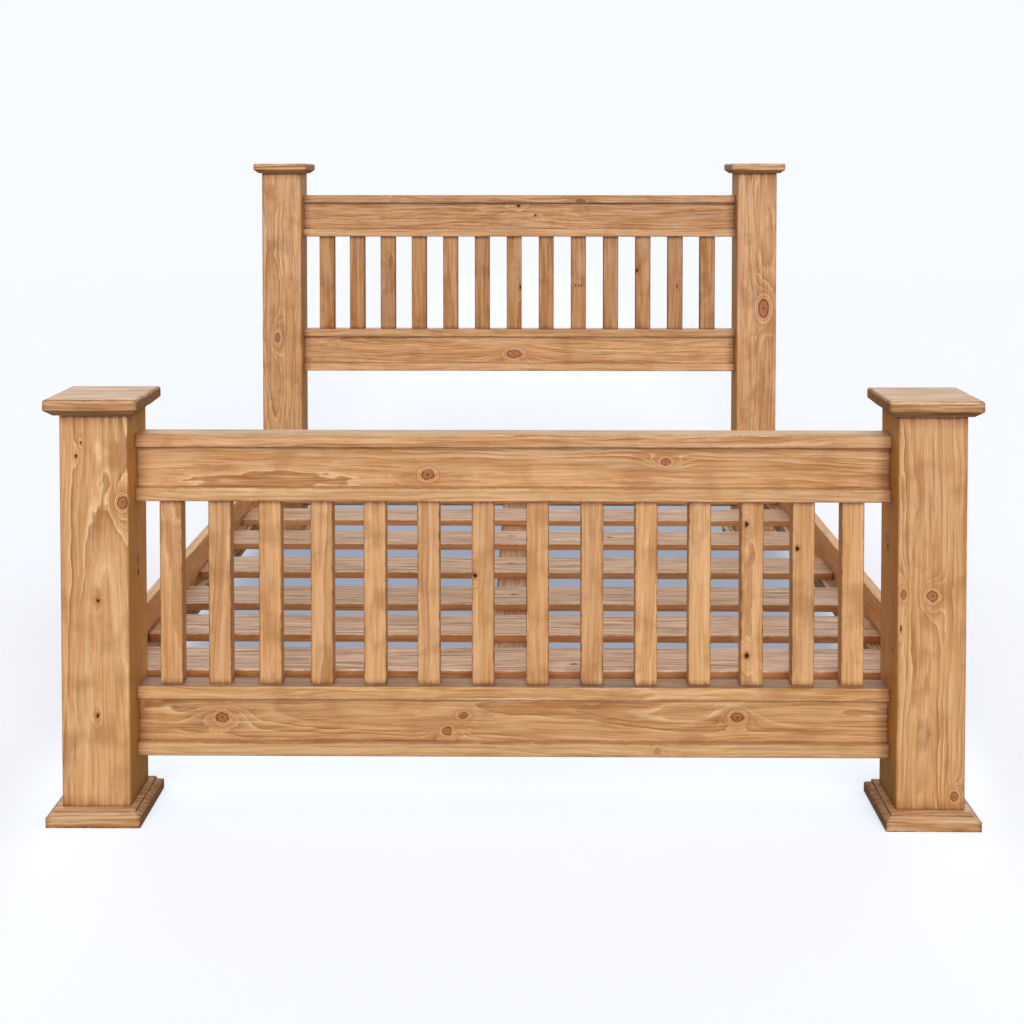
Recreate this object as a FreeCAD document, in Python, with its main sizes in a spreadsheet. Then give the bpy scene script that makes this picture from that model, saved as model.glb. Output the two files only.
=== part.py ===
import FreeCAD, Part
import Sketcher
import os
import re

# A pine spindle bed: four square posts with caps and plinths, a headboard and a footboard of framed
# spindles, and between them two side rails that carry the slats.
# Millimetres. The origin is on the floor under the middle of the bed, +X to the right as seen from
# the foot end, +Y towards the head end, +Z up.

DIMENSIONS = (
    # Posts, with the plinth that each stands on and the cap that each carries.
    ("bed_width", 1760, "outer side faces of the posts"),
    ("bed_length", 2276, "outer end faces of the posts"),
    ("post_size", 134, "side of a post's square section"),
    ("post_arris", 4, "rounding of a post's long edges"),
    ("foot_post_rise", 46, "foot post above the footboard's top, under its cap"),
    ("head_post_rise", 76, "head post above the headboard's top, under its cap"),
    ("plinth_overhang", 25, "plinth beyond the post on each side"),
    ("plinth_edge", 19, "upright edge of the plinth"),
    ("plinth_slope_run", 12, "how far in the slope above that edge goes"),
    ("plinth_slope_rise", 6, "how far up that slope goes"),
    ("plinth_lip", 6, "raised lip that the post stands on"),
    ("plinth_lip_round", 3, "rounding of the lip"),
    ("cap_overhang", 24, "cap beyond the post on each side"),
    ("cap_thickness", 33, "whole thickness of the cap"),
    ("cap_under_run", 15, "how far in the slope under the cap goes"),
    ("cap_under_rise", 12, "height of that slope"),
    ("cap_round", 6, "rounding of the cap's upper edge"),
    # The four framed cross rails: a plank with a routed face and a bead, under a capping strip.
    ("rail_setback", 49, "rail's front face behind the post's"),
    ("rail_thickness", 50, "plank and capping strip, front to back"),
    ("rail_recess", 15, "depth of the routed face"),
    ("rail_arris", 2.5, "rounding of the bead and the capping strip"),
    ("bead_height", 27, "bead left along the plank's lower edge"),
    ("capping_height", 27, "thickness of the capping strip"),
    ("foot_top_rail_top", 755, "top of the footboard"),
    ("foot_top_rail_height", 134, "with its capping strip"),
    ("foot_lower_rail_height", 140, "with its capping strip"),
    ("low_rail_drop", 4, "footboard's lower rail and the plain rail, below the slats' tops"),
    ("head_top_rail_top", 1191, "top of the headboard"),
    ("head_top_rail_height", 143, "with its capping strip"),
    ("head_lower_rail_top", 727, "top of the headboard's lower rail"),
    ("head_lower_rail_height", 145, "with its capping strip"),
    ("base_rail_height", 140, "plain rail low in the headboard"),
    ("base_rail_thickness", 35, "thickness of that rail"),
    ("rail_tenon_length", 50, "tenon at each end of a cross rail"),
    ("rail_tenon_thickness", 20, "front to back"),
    ("rail_tenon_shoulder", 18, "shoulder above and below the tenon"),
    # Spindles, tenoned into the rail above and the capping strip below.
    ("foot_spindle_width", 45, "footboard's spindles, side to side"),
    ("head_spindle_width", 52, "headboard's spindles, side to side"),
    ("spindle_depth", 33, "front to back"),
    ("spindle_arris", 3, "rounding of a spindle's long edges"),
    ("spindle_tenon_width", 25, "side to side"),
    ("spindle_tenon_thickness", 14, "front to back"),
    ("spindle_tenon_length", 18, "at each end"),
    ("foot_spindle_count", 14, "spindles in the footboard"),
    ("foot_spindle_margin", 69.2, "post to the middle of the outermost spindle"),
    ("foot_spindle_shift", -2.8, "whole row to the right of the middle"),
    ("foot_spindle_lean", -1.7, "middle of the row to the right of its ends' middle"),
    ("foot_spindle_bunching", 0.041, "how much closer the spindles stand towards the row's ends"),
    ("head_spindle_count", 13, "spindles in the headboard"),
    ("head_spindle_margin", 86.2, "post to the middle of the outermost spindle"),
    ("head_spindle_shift", -7.1, "whole row to the right of the middle"),
    ("head_spindle_lean", -9.7, "middle of the row to the right of its ends' middle"),
    ("head_spindle_bunching", 0.01, "how much closer the spindles stand towards the row's ends"),
    # Side rails, with the ledger inside each and the slats that lie on the ledgers.
    ("side_rail_inset", 47, "side rail's outer face inside the post's"),
    ("side_rail_thickness", 26, "side to side"),
    ("side_rail_height", 175, "height of a side rail"),
    ("side_rail_rise", 66, "top of a side rail above the slats"),
    ("side_rail_arris", 3, "rounding of its long edges"),
    ("ledger_width", 33, "side to side"),
    ("ledger_height", 33, "height of a ledger"),
    ("ledger_end_gap", 25, "ledger short of the post"),
    ("slat_top", 256, "top of the slats"),
    ("slat_thickness", 18, "thickness of a slat"),
    ("slat_width", 138, "along the bed"),
    ("slat_arris", 1.5, "rounding of a slat's long edges"),
    ("slat_end_gap", 2, "slat short of the side rail"),
    ("slat_count", 8, "slats"),
    ("slat_first_gap", 2, "first slat beyond the foot posts"),
    ("slat_last_gap", 58, "last slat short of the head posts"),
    ("slat_2_nudge", -32.5, "second slat beyond its even place, as laid by hand"),
    ("slat_3_nudge", -66, "third slat, the same"),
    ("slat_4_nudge", -56.5, "fourth slat"),
    ("slat_5_nudge", -37.5, "fifth slat"),
    ("slat_6_nudge", -29, "sixth slat"),
    ("slat_7_nudge", -10.5, "seventh slat"),
    # Centre rail under the slats, housed in the two end rails, and its two legs.
    ("centre_rail_width", 74, "side to side"),
    ("centre_rail_shift", -9, "its middle to the right of the bed's middle"),
    ("centre_rail_height", 45, "height of the centre rail"),
    ("centre_tenon_length", 20, "at each end"),
    ("centre_tenon_width", 40, "side to side"),
    ("centre_tenon_height", 20, "height of that tenon"),
    ("centre_tenon_lift", 5, "tenon above the rail's underside"),
    ("leg_size", 45, "side of a leg's square section"),
    ("leg_arris", 3, "rounding of a leg's long edges"),
    ("leg_offset", 380, "middle of the bed to the middle of a leg"),
    ("leg_pin_radius", 10, "pin on top of a leg"),
    ("leg_pin_length", 25, "height of that pin"),
    # Steel angle brackets in the inner corners of side rail and post, and their screws.
    ("bracket_leg", 42, "length of each leg"),
    ("bracket_height", 42, "height of a bracket"),
    ("bracket_gauge", 3, "thickness of the steel"),
    ("bracket_gap", 8, "bracket below the ledger"),
    ("screw_radius", 4, "shank of a screw"),
    ("screw_reach", 18, "shank beyond the bracket"),
    ("screw_head_radius", 7.5, "across the corners of its six-sided head"),
    ("screw_head_height", 5.5, "height of that head"),
    # Fits.
    ("joint_clearance", 0.3, "round a tenon or pin, on each side"),
    ("joint_depth_gap", 2, "beyond the end of a tenon, pin or screw"),
    ("screw_clearance", 0.2, "round a screw's shank"),
)

doc = FreeCAD.newDocument("spindle_bed")
sheet = doc.addObject("Spreadsheet::Sheet", "dims")
for row, (alias, value, meaning) in enumerate(DIMENSIONS, 1):
    sheet.set("A%d" % row, str(value))
    sheet.setAlias("A%d" % row, alias)
    sheet.set("B%d" % row, meaning)
doc.recompute()

ALIASES = {alias for alias, value, meaning in DIMENSIONS}

# Heights and places that several pieces share.
PLINTH_HEIGHT = "(plinth_edge + plinth_slope_rise + plinth_lip)"
LEFT_FACE = "(-bed_width / 2)"
FOOT_FACE = "(-bed_length / 2)"
CLEAR_WIDTH = "(bed_width - 2 * post_size)"
CLEAR_LENGTH = "(bed_length - 2 * post_size)"
HEAD_POST_FACE = "(bed_length / 2 - post_size)"
SIDE_RAIL_INNER = "(bed_width / 2 - side_rail_inset - side_rail_thickness)"
SLAT_UNDER = "(slat_top - slat_thickness)"
CENTRE_RAIL_UNDER = "(%s - centre_rail_height)" % SLAT_UNDER
LEDGER_UNDER = "(%s - ledger_height)" % SLAT_UNDER
SIDE_RAIL_UNDER = "(slat_top + side_rail_rise - side_rail_height)"
BRACKET_UNDER = "(%s - bracket_gap - bracket_height)" % LEDGER_UNDER
BRACKET_MIDDLE = "(%s + bracket_height / 2)" % BRACKET_UNDER

RAIL_TOPS = {
    "foot_top_rail": "foot_top_rail_top",
    "foot_lower_rail": "(slat_top - low_rail_drop)",
    "head_top_rail": "head_top_rail_top",
    "head_lower_rail": "head_lower_rail_top",
    "base_rail": "(slat_top - low_rail_drop)",
}
POST_TOPS = {
    "foot": "(foot_top_rail_top + foot_post_rise)",
    "head": "(head_top_rail_top + head_post_rise)",
}

# Each framed board: its front plane, its top rail and its lower rail.
BOARDS = {
    "foot": (FOOT_FACE + " + rail_setback", "foot_top_rail", "foot_lower_rail"),
    "head": (HEAD_POST_FACE + " + rail_setback", "head_top_rail", "head_lower_rail"),
}

# A sketch's own plane for each direction that a piece runs along, and whether the plane's normal
# points against that direction.
PLANES = {"x": ("YZ_Plane", False), "y": ("XZ_Plane", True), "z": ("XY_Plane", False)}


def formula(text):
    """The text with every dimension's name pointing at its value in the table."""
    return re.sub(r"[a-z]\w*", lambda word: "dims." + word[0] if word[0] in ALIASES else word[0], text)


def bind(thing, prop, text):
    thing.setExpression(prop, formula(text))


def place(thing, corner):
    for axis, text in zip("xyz", corner):
        bind(thing, "Placement.Base." + axis, text)


def about_upright(turn):
    return FreeCAD.Rotation(FreeCAD.Vector(0, 0, 1), turn)


def new_body(label, corner, turn=0):
    """An empty body whose own origin is at the corner, turned about the upright."""
    body = doc.addObject("PartDesign::Body", label)
    body.Label = label
    body.Placement = FreeCAD.Placement(FreeCAD.Vector(), about_upright(turn))
    place(body, corner)
    return body


def new_sketch(body, along, start):
    """An empty sketch across one direction of the body, at a distance along it."""
    role, backwards = PLANES[along]
    plane = next(item for item in body.Origin.OriginFeatures if item.Role == role)
    sketch = body.newObject("Sketcher::SketchObject", body.Name + "_sketch")
    sketch.AttachmentSupport = [(plane, "")]
    sketch.MapMode = "FlatFace"
    bind(sketch, "AttachmentOffset.Base.z", ("-(%s)" if backwards else "%s") % start)
    return sketch


def hold(sketch, kind, first, second, text):
    """A distance from one point to another of a sketch that follows a formula."""
    number = sketch.addConstraint(Sketcher.Constraint(kind, *first, *second, 10.0))
    bind(sketch, "Constraints[%d]" % number, text)


def rectangle(sketch, low_u, low_v, size_u, size_v):
    """A rectangle with its low corner at low_u, low_v; a formula of "0" sets it on the axis."""
    corners = [FreeCAD.Vector(u, v, 0) for u, v in ((1, 1), (11, 1), (11, 11), (1, 11))]
    first = sketch.GeometryCount
    for start, end in zip(corners, corners[1:] + corners[:1]):
        sketch.addGeometry(Part.LineSegment(start, end), False)
    for side in range(4):
        following = first + (side + 1) % 4
        sketch.addConstraint(Sketcher.Constraint("Coincident", first + side, 2, following, 1))
        sketch.addConstraint(Sketcher.Constraint(("Horizontal", "Vertical")[side % 2], first + side))
    for kind, axis, text in (("DistanceX", -2, low_u), ("DistanceY", -1, low_v)):
        if text == "0":
            sketch.addConstraint(Sketcher.Constraint("PointOnObject", first, 1, axis))
        else:
            hold(sketch, kind, (-1, 1), (first, 1), text)
    hold(sketch, "DistanceX", (first, 1), (first, 2), size_u)
    hold(sketch, "DistanceY", (first + 1, 1), (first + 1, 2), size_v)


def circle(sketch, middle_u, middle_v, radius):
    number = sketch.addGeometry(Part.Circle(FreeCAD.Vector(1, 1, 0), FreeCAD.Vector(0, 0, 1), 5), False)
    hold(sketch, "DistanceX", (-1, 1), (number, 3), middle_u)
    hold(sketch, "DistanceY", (-1, 1), (number, 3), middle_v)
    size = sketch.addConstraint(Sketcher.Constraint("Radius", number, 5.0))
    bind(sketch, "Constraints[%d]" % size, radius)


def pad(body, along, start, length, outlines, draw=rectangle):
    """Wood added along one direction, with one sketched outline or more."""
    sketch = new_sketch(body, along, start)
    for outline in outlines:
        draw(sketch, *outline)
    feature = body.newObject("PartDesign::Pad", body.Name + "_pad")
    feature.Profile = sketch
    feature.Reversed = PLANES[along][1]
    bind(feature, "Length", length)


def pocket(body, along, start, length, outlines, draw=rectangle):
    """Wood cut away along one direction, which has to make the body smaller."""
    doc.recompute()
    before = body.Shape.Volume
    sketch = new_sketch(body, along, start)
    for outline in outlines:
        draw(sketch, *outline)
    feature = body.newObject("PartDesign::Pocket", body.Name + "_pocket")
    feature.Profile = sketch
    feature.Reversed = not PLANES[along][1]
    bind(feature, "Length", length)
    doc.recompute()
    if not body.Shape.Volume < before:
        raise RuntimeError(body.Label + ": a pocket cut nothing")


def frustum(body, low, low_size, high, high_size, inset):
    """A square block that widens or narrows from one height to another."""
    sections = []
    for height, size, edge in ((low, low_size, inset[0]), (high, high_size, inset[1])):
        section = new_sketch(body, "z", height)
        rectangle(section, edge, edge, size, size)
        sections.append(section)
    feature = body.newObject("PartDesign::AdditiveLoft", body.Name + "_loft")
    feature.Profile = sections[0]
    feature.Sections = [sections[1]]
    feature.Ruled = True


def ease(body, radius, chosen):
    """Rounds the edges of the body's last feature whose two ends satisfy chosen."""
    doc.recompute()
    base = body.Tip
    names = []
    for number, edge in enumerate(base.Shape.Edges, 1):
        ends = [vertex.Point for vertex in edge.Vertexes]
        if len(ends) == 2 and chosen(*ends):
            names.append("Edge%d" % number)
    if not names:
        raise RuntimeError(body.Label + ": no edge to round")
    feature = body.newObject("PartDesign::Fillet", body.Name + "_ease")
    feature.Base = (base, names)
    bind(feature, "Radius", radius)


def along_axis(start, end, axis):
    """Whether an edge's two ends differ along one direction only."""
    return all(abs(getattr(start, other) - getattr(end, other)) < 0.01 for other in "xyz" if other != axis)


def long_edges(axis):
    return lambda start, end: along_axis(start, end, axis)


def top_edges(body):
    doc.recompute()
    top = body.Tip.Shape.BoundBox.ZMax
    return lambda start, end: abs(start.z - top) < 0.01 and abs(end.z - top) < 0.01


def front_edges(body):
    """The edges along X of a body's front face."""
    doc.recompute()
    front = body.Tip.Shape.BoundBox.YMin
    return lambda start, end: along_axis(start, end, "x") and abs(start.y - front) < 0.01


def group(label, pieces):
    """Like pieces that share one node, each still a solid of its own."""
    compound = doc.addObject("Part::Compound", label)
    compound.Label = label
    compound.Links = pieces
    return compound


def rail_bottom(name):
    return "(%s - %s_height)" % (RAIL_TOPS[name], name)


def tenon_section(thickness, height):
    """A cross rail's tenon, in the rail's own section: low corner, thickness and height."""
    return ("((%s - rail_tenon_thickness) / 2)" % thickness, "rail_tenon_shoulder",
            "rail_tenon_thickness", "(%s - 2 * rail_tenon_shoulder)" % height)


def widened(outline):
    """The mortise that a tenon's outline fits, with the clearance all round."""
    low_u, low_v, size_u, size_v = outline
    return (low_u + " - joint_clearance", low_v + " - joint_clearance",
            size_u + " + 2 * joint_clearance", size_v + " + 2 * joint_clearance")


def spindle_middles(board):
    """The spindles' middles along X, as set by hand: the gaps widen towards the middle of the row
    and towards one end."""
    count = int(sheet.get(board + "_spindle_count"))
    half_row = "(%s / 2 - %s_spindle_margin)" % (CLEAR_WIDTH, board)
    for number in range(count):
        share = 2 * number / (count - 1) - 1
        spread = "{0} * ({1:.6f} + {2}_spindle_bunching * {3:.6f})".format(
            half_row, share, board, share - share ** 3)
        yield "{0}_spindle_shift + {0}_spindle_lean * {1:.6f} + {2}".format(board, 1 - share ** 2, spread)


def spindle_mortises(board):
    """The mortises of one row of spindles, in a rail's own X and Y."""
    for middle in spindle_middles(board):
        yield ("%s / 2 + %s - spindle_tenon_width / 2 - joint_clearance" % (CLEAR_WIDTH, middle),
               "rail_recess + (spindle_depth - spindle_tenon_thickness) / 2 - joint_clearance",
               "spindle_tenon_width + 2 * joint_clearance",
               "spindle_tenon_thickness + 2 * joint_clearance")


def plank_height(name):
    return "(%s_height - capping_height)" % name


def plank_tenon(name):
    """The tenon of a framed rail, which sits behind the routed face."""
    low_u, low_v, size_u, size_v = tenon_section("(rail_thickness - rail_recess)", plank_height(name))
    return "rail_recess + " + low_u, low_v, size_u, size_v


def base_rail_tenon():
    return tenon_section("base_rail_thickness", "base_rail_height")


def make_plinth(label, x, y):
    """A square block with an upright edge, a slope and a rounded lip."""
    outer = "(post_size + 2 * plinth_overhang)"
    inner = "(post_size + 2 * plinth_overhang - 2 * plinth_slope_run)"
    body = new_body(label, (x + " - plinth_overhang", y + " - plinth_overhang", "0"))
    pad(body, "z", "plinth_edge + plinth_slope_rise", "plinth_lip",
        [("plinth_slope_run", "plinth_slope_run", inner, inner)])
    ease(body, "plinth_lip_round", top_edges(body))
    frustum(body, "plinth_edge", outer, "plinth_edge + plinth_slope_rise", inner, ("0", "plinth_slope_run"))
    pad(body, "z", "0", "plinth_edge", [("0", "0", outer, outer)])
    return body


def make_cap(label, x, y, top):
    """A square board with a rounded upper edge and a slope under its rim."""
    outer = "(post_size + 2 * cap_overhang)"
    inner = "(post_size + 2 * cap_overhang - 2 * cap_under_run)"
    body = new_body(label, (x + " - cap_overhang", y + " - cap_overhang", top))
    pad(body, "z", "cap_under_rise", "cap_thickness - cap_under_rise", [("0", "0", outer, outer)])
    ease(body, "cap_round", top_edges(body))
    frustum(body, "0", inner, "cap_under_rise", outer, ("cap_under_run", "0"))
    return body


def make_post(label, x, y, top, inner_side, tenons, bracket_face):
    """A square post with its mortises, and the screw hole on the face that the side rail meets."""
    body = new_body(label, (x, y, PLINTH_HEIGHT))
    pad(body, "z", "0", top + " - " + PLINTH_HEIGHT, [("0", "0", "post_size", "post_size")])
    ease(body, "post_arris", long_edges("z"))
    depth = "(rail_tenon_length + joint_depth_gap)"
    start = "0" if inner_side == "low" else "post_size - " + depth
    pocket(body, "x", start, depth, [widened(tenon) for tenon in tenons])
    bore = "(screw_reach + joint_depth_gap)"
    across = "side_rail_inset + side_rail_thickness + bracket_leg / 2"
    if inner_side == "low":
        across = "post_size - (%s)" % across
    pocket(body, "y", "0" if bracket_face == "low" else "post_size - " + bore, bore,
           [(across, BRACKET_MIDDLE + " - " + PLINTH_HEIGHT, "screw_radius + screw_clearance")], circle)
    return body


def make_plank(label, board_front, name, mortised_below, housed):
    """A framed rail's plank: a routed face over a bead, and a tenon at each end."""
    body = new_body(label, (LEFT_FACE + " + post_size", board_front, rail_bottom(name)))
    height = plank_height(name)
    pad(body, "x", "0", CLEAR_WIDTH, [("0", "0", "rail_thickness", height)])
    pocket(body, "x", "0", CLEAR_WIDTH, [("0", "bead_height", "rail_recess", height + " - bead_height")])
    ease(body, "rail_arris", front_edges(body))
    pad(body, "x", "-rail_tenon_length", CLEAR_WIDTH + " + 2 * rail_tenon_length", [plank_tenon(name)])
    if mortised_below:
        pocket(body, "z", "0", "spindle_tenon_length + joint_depth_gap", spindle_mortises(mortised_below))
    if housed:
        depth = "(centre_tenon_length + joint_depth_gap)"
        pocket(body, "y", "rail_thickness - " + depth, depth, [centre_housing(rail_bottom(name))])
    return body


def make_capping(label, board_front, name, mortised_above):
    """The strip on top of a framed rail, flush with the bead in front."""
    underside = RAIL_TOPS[name] + " - capping_height"
    body = new_body(label, (LEFT_FACE + " + post_size", board_front, underside))
    pad(body, "x", "0", CLEAR_WIDTH, [("0", "0", "rail_thickness", "capping_height")])
    ease(body, "rail_arris", front_edges(body))
    if mortised_above:
        depth = "(spindle_tenon_length + joint_depth_gap)"
        pocket(body, "z", "capping_height - " + depth, depth, spindle_mortises(mortised_above))
    return body


def make_base_rail(label):
    """The plain rail low between the head posts, which carries the centre rail's far end."""
    body = new_body(label, (LEFT_FACE + " + post_size", BOARDS["head"][0], rail_bottom("base_rail")))
    pad(body, "x", "0", CLEAR_WIDTH, [("0", "0", "base_rail_thickness", "base_rail_height")])
    ease(body, "rail_arris", long_edges("x"))
    pad(body, "x", "-rail_tenon_length", CLEAR_WIDTH + " + 2 * rail_tenon_length", [base_rail_tenon()])
    pocket(body, "y", "0", "centre_tenon_length + joint_depth_gap",
           [centre_housing(rail_bottom("base_rail"))])
    return body


def make_spindle(label, middle, width, board_front, lower, upper):
    """A square spindle between two rails, with a tenon at each end."""
    foot = RAIL_TOPS[lower]
    length = "(%s - %s)" % (rail_bottom(upper), foot)
    body = new_body(label, ("%s - %s / 2" % (middle, width), board_front + " + rail_recess", foot))
    pad(body, "z", "0", length, [("0", "0", width, "spindle_depth")])
    ease(body, "spindle_arris", long_edges("z"))
    pad(body, "z", "-spindle_tenon_length", length + " + 2 * spindle_tenon_length",
        [("(%s - spindle_tenon_width) / 2" % width, "(spindle_depth - spindle_tenon_thickness) / 2",
          "spindle_tenon_width", "spindle_tenon_thickness")])
    return body


def make_side_rail(label, x, inner_side):
    """A board on edge between a foot post and a head post."""
    body = new_body(label, (x, FOOT_FACE + " + post_size", SIDE_RAIL_UNDER))
    pad(body, "y", "0", CLEAR_LENGTH, [("0", "0", "side_rail_thickness", "side_rail_height")])
    ease(body, "side_rail_arris", long_edges("y"))
    bore = "(screw_reach + joint_depth_gap)"
    height = "%s - %s" % (BRACKET_MIDDLE, SIDE_RAIL_UNDER)
    holes = [(along, height, "screw_radius + screw_clearance")
             for along in ("bracket_leg / 2", CLEAR_LENGTH + " - bracket_leg / 2")]
    pocket(body, "x", "0" if inner_side == "low" else "side_rail_thickness - " + bore, bore, holes, circle)
    return body


def make_ledger(label, x):
    """The strip inside a side rail that the slats' ends lie on."""
    near = FOOT_FACE + " + post_size + ledger_end_gap"
    length = CLEAR_LENGTH + " - 2 * ledger_end_gap"
    body = new_body(label, (x, near, LEDGER_UNDER))
    pad(body, "y", "0", length, [("0", "0", "ledger_width", "ledger_height")])
    return body


def make_slat(number, count):
    """A slat at its even place between the first and the last, plus its nudge if it has one."""
    span = "(%s - slat_first_gap - slat_last_gap - slat_width)" % CLEAR_LENGTH
    start = "%s + post_size + slat_first_gap + %s * %d / %d" % (FOOT_FACE, span, number - 1, count - 1)
    nudge = "slat_%d_nudge" % number
    if nudge in ALIASES:
        start += " + " + nudge
    length = "2 * (%s - slat_end_gap)" % SIDE_RAIL_INNER
    body = new_body("slat_%d" % number, ("slat_end_gap - " + SIDE_RAIL_INNER, start, SLAT_UNDER))
    pad(body, "x", "0", length, [("0", "0", "slat_width", "slat_thickness")])
    ease(body, "slat_arris", long_edges("x"))
    return body


def centre_housing(rail_underside):
    """The housing for the centre rail's tenon, in a cross rail's own X and Z."""
    return widened(("centre_rail_shift + (%s - centre_tenon_width) / 2" % CLEAR_WIDTH,
                    "%s + centre_tenon_lift - %s" % (CENTRE_RAIL_UNDER, rail_underside),
                    "centre_tenon_width", "centre_tenon_height"))


def make_centre_rail(label):
    """The rail under the middle of the slats, with a tenon at each end and a bore for each leg."""
    near = BOARDS["foot"][0] + " + rail_thickness"
    length = "(%s - (%s))" % (BOARDS["head"][0], near)
    body = new_body(label, ("centre_rail_shift - centre_rail_width / 2", near, CENTRE_RAIL_UNDER))
    pad(body, "y", "0", length, [("0", "0", "centre_rail_width", "centre_rail_height")])
    pad(body, "y", "-centre_tenon_length", length + " + 2 * centre_tenon_length",
        [("(centre_rail_width - centre_tenon_width) / 2", "centre_tenon_lift",
          "centre_tenon_width", "centre_tenon_height")])
    radius = "leg_pin_radius + joint_clearance"
    bores = [("centre_rail_width / 2", "%s leg_offset - (%s)" % (sign, near), radius) for sign in ("-", "")]
    pocket(body, "z", "0", "leg_pin_length + joint_depth_gap", bores, circle)
    return body


def make_leg(label, sign):
    """A square leg on the floor, with a round pin up into the centre rail."""
    body = new_body(label, ("centre_rail_shift - leg_size / 2", "%s leg_offset - leg_size / 2" % sign, "0"))
    pad(body, "z", "0", CENTRE_RAIL_UNDER, [("0", "0", "leg_size", "leg_size")])
    ease(body, "leg_arris", long_edges("z"))
    pad(body, "z", "0", CENTRE_RAIL_UNDER + " + leg_pin_length",
        [("leg_size / 2", "leg_size / 2", "leg_pin_radius")], circle)
    return body


def make_bracket(label, corner, turn):
    """An angle of flat steel in an inner corner, with a screw hole in each leg."""
    body = new_body(label, corner, turn)
    pad(body, "z", "0", "bracket_height", [("0", "0", "bracket_leg", "bracket_gauge")])
    pad(body, "z", "0", "bracket_height", [("0", "0", "bracket_gauge", "bracket_leg")])
    hole = ("bracket_leg / 2", "bracket_height / 2", "screw_radius + screw_clearance")
    pocket(body, "x", "0", "bracket_gauge", [hole], circle)
    pocket(body, "y", "0", "bracket_gauge", [hole], circle)
    return body


def make_screw(label, corner, turn, into):
    """A six-sided head on the bracket's leg and a shank through it into the wood."""
    head = doc.addObject("Part::Prism", label + "_head")
    bind(head, "Circumradius", "screw_head_radius")
    bind(head, "Height", "screw_head_height")
    shank = doc.addObject("Part::Cylinder", label + "_shank")
    bind(shank, "Radius", "screw_radius")
    bind(shank, "Height", "bracket_gauge + screw_reach + screw_head_height")
    bind(shank, "Placement.Base.z", "-(bracket_gauge + screw_reach)")
    screw = doc.addObject("Part::MultiFuse", label)
    screw.Shapes = [head, shank]
    # The head points out of the leg, along the corner's own Y on one leg and its own X on the other.
    out = FreeCAD.Vector(0, 1, 0) if into == "post" else FreeCAD.Vector(1, 0, 0)
    aim = FreeCAD.Rotation(FreeCAD.Vector(0, 0, 1), out)
    spin = about_upright(turn)
    screw.Placement = FreeCAD.Placement(FreeCAD.Vector(), spin * aim)
    outward = spin.multVec(out)
    sideways = spin.multVec(FreeCAD.Vector(1, 1, 0) - out)
    for axis, text, ahead, across in zip("xy", corner, outward, sideways):
        bind(screw, "Placement.Base." + axis,
             "%s + %d * bracket_gauge + %d * bracket_leg / 2" % (text, round(ahead), round(across)))
    bind(screw, "Placement.Base.z", BRACKET_MIDDLE)
    return screw


nodes = []

POST_X = {"left": LEFT_FACE, "right": "bed_width / 2 - post_size"}
POST_Y = {"foot": FOOT_FACE, "head": HEAD_POST_FACE}
INNER_SIDE = {"left": "high", "right": "low"}
BRACKET_FACE = {"foot": "high", "head": "low"}


def seated(tenon, bottom):
    """A rail's tenon in the section of the post that it enters."""
    low_u, low_v, size_u, size_v = tenon
    return ("rail_setback + " + low_u, "%s - %s + %s" % (bottom, PLINTH_HEIGHT, low_v), size_u, size_v)


for end, (front, top_rail, lower_rail) in BOARDS.items():
    tenons = [seated(plank_tenon(name), rail_bottom(name)) for name in (top_rail, lower_rail)]
    if end == "head":
        tenons.append(seated(base_rail_tenon(), rail_bottom("base_rail")))
    for side in ("left", "right"):
        where = (POST_X[side], POST_Y[end])
        nodes.append(make_plinth("%s_plinth_%s" % (end, side), *where))
        nodes.append(make_post("%s_post_%s" % (end, side), *where, POST_TOPS[end],
                               INNER_SIDE[side], tenons, BRACKET_FACE[end]))
        nodes.append(make_cap("%s_cap_%s" % (end, side), *where, POST_TOPS[end]))
    nodes.append(make_plank(top_rail, front, top_rail, end, False))
    nodes.append(make_plank(lower_rail, front, lower_rail, None, end == "foot"))
    nodes.append(make_capping(top_rail.replace("rail", "capping"), front, top_rail, None))
    nodes.append(make_capping(lower_rail.replace("rail", "capping"), front, lower_rail, end))
    for number, middle in enumerate(spindle_middles(end), 1):
        nodes.append(make_spindle("%s_spindle_%02d" % (end, number), middle, end + "_spindle_width",
                                  front, lower_rail, top_rail))
nodes.append(make_base_rail("head_base_rail"))

nodes.append(make_side_rail("side_rail_left", LEFT_FACE + " + side_rail_inset", "high"))
nodes.append(make_side_rail("side_rail_right", SIDE_RAIL_INNER, "low"))
nodes.append(make_ledger("slat_ledger_left", "-" + SIDE_RAIL_INNER))
nodes.append(make_ledger("slat_ledger_right", SIDE_RAIL_INNER + " - ledger_width"))
slat_count = int(sheet.get("slat_count"))
nodes.append(group("slats", [make_slat(number, slat_count) for number in range(1, slat_count + 1)]))
nodes.append(make_centre_rail("centre_rail"))
nodes.append(make_leg("centre_leg_foot_end", "-"))
nodes.append(make_leg("centre_leg_head_end", ""))

# Each inner corner of side rail and post, and the turn that brings a bracket's legs into it.
CORNERS = (
    ("-" + SIDE_RAIL_INNER, FOOT_FACE + " + post_size", 0),
    (SIDE_RAIL_INNER, FOOT_FACE + " + post_size", 90),
    (SIDE_RAIL_INNER, HEAD_POST_FACE, 180),
    ("-" + SIDE_RAIL_INNER, HEAD_POST_FACE, 270),
)
brackets = []
screws = []
for number, (x, y, turn) in enumerate(CORNERS, 1):
    brackets.append(make_bracket("bracket_%d" % number, (x, y, BRACKET_UNDER), turn))
    for into in ("post", "rail"):
        screws.append(make_screw("screw_%d_%s" % (number, into), (x, y), turn, into))
nodes.append(group("corner_brackets", brackets))
nodes.append(group("bracket_screws", screws))

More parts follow.
